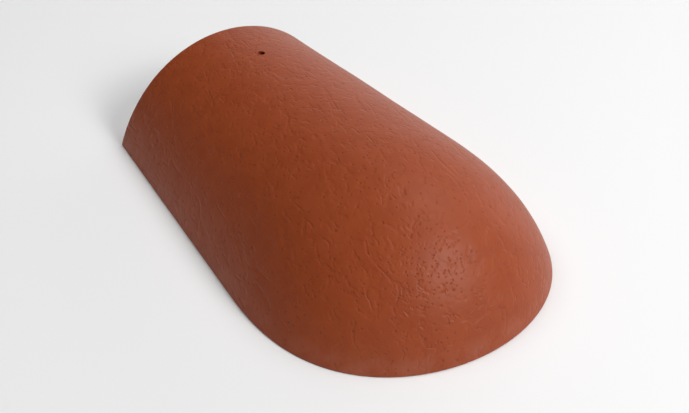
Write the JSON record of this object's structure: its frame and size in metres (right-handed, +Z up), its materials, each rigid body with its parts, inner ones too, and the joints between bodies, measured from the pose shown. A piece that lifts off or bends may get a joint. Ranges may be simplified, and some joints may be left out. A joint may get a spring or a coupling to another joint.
{
  "type": "ridge end tile",
  "caption": "Tapered, arched roof ridge tile of fired clay; its wide end is closed by a rounded nose, its narrow end is open, with a nail hole near it.",
  "frame": {"origin": "on the plane that the rim beds on, under the middle of the tile's length and width", "axes": "+X across the tile, +Y along the ridge towards the narrow open end, with the rounded nose towards -Y, +Z up"},
  "size_m": [0.2744, 0.42, 0.1054],
  "materials": {
    "terracotta": "brick-red fired clay with a satin skin, short creases and small pits; plainer and rougher on the hidden inner side"
  },
  "bodies": {
    "root": {"ridge_end_tile": "terracotta"}
  },
  "joints": []
}
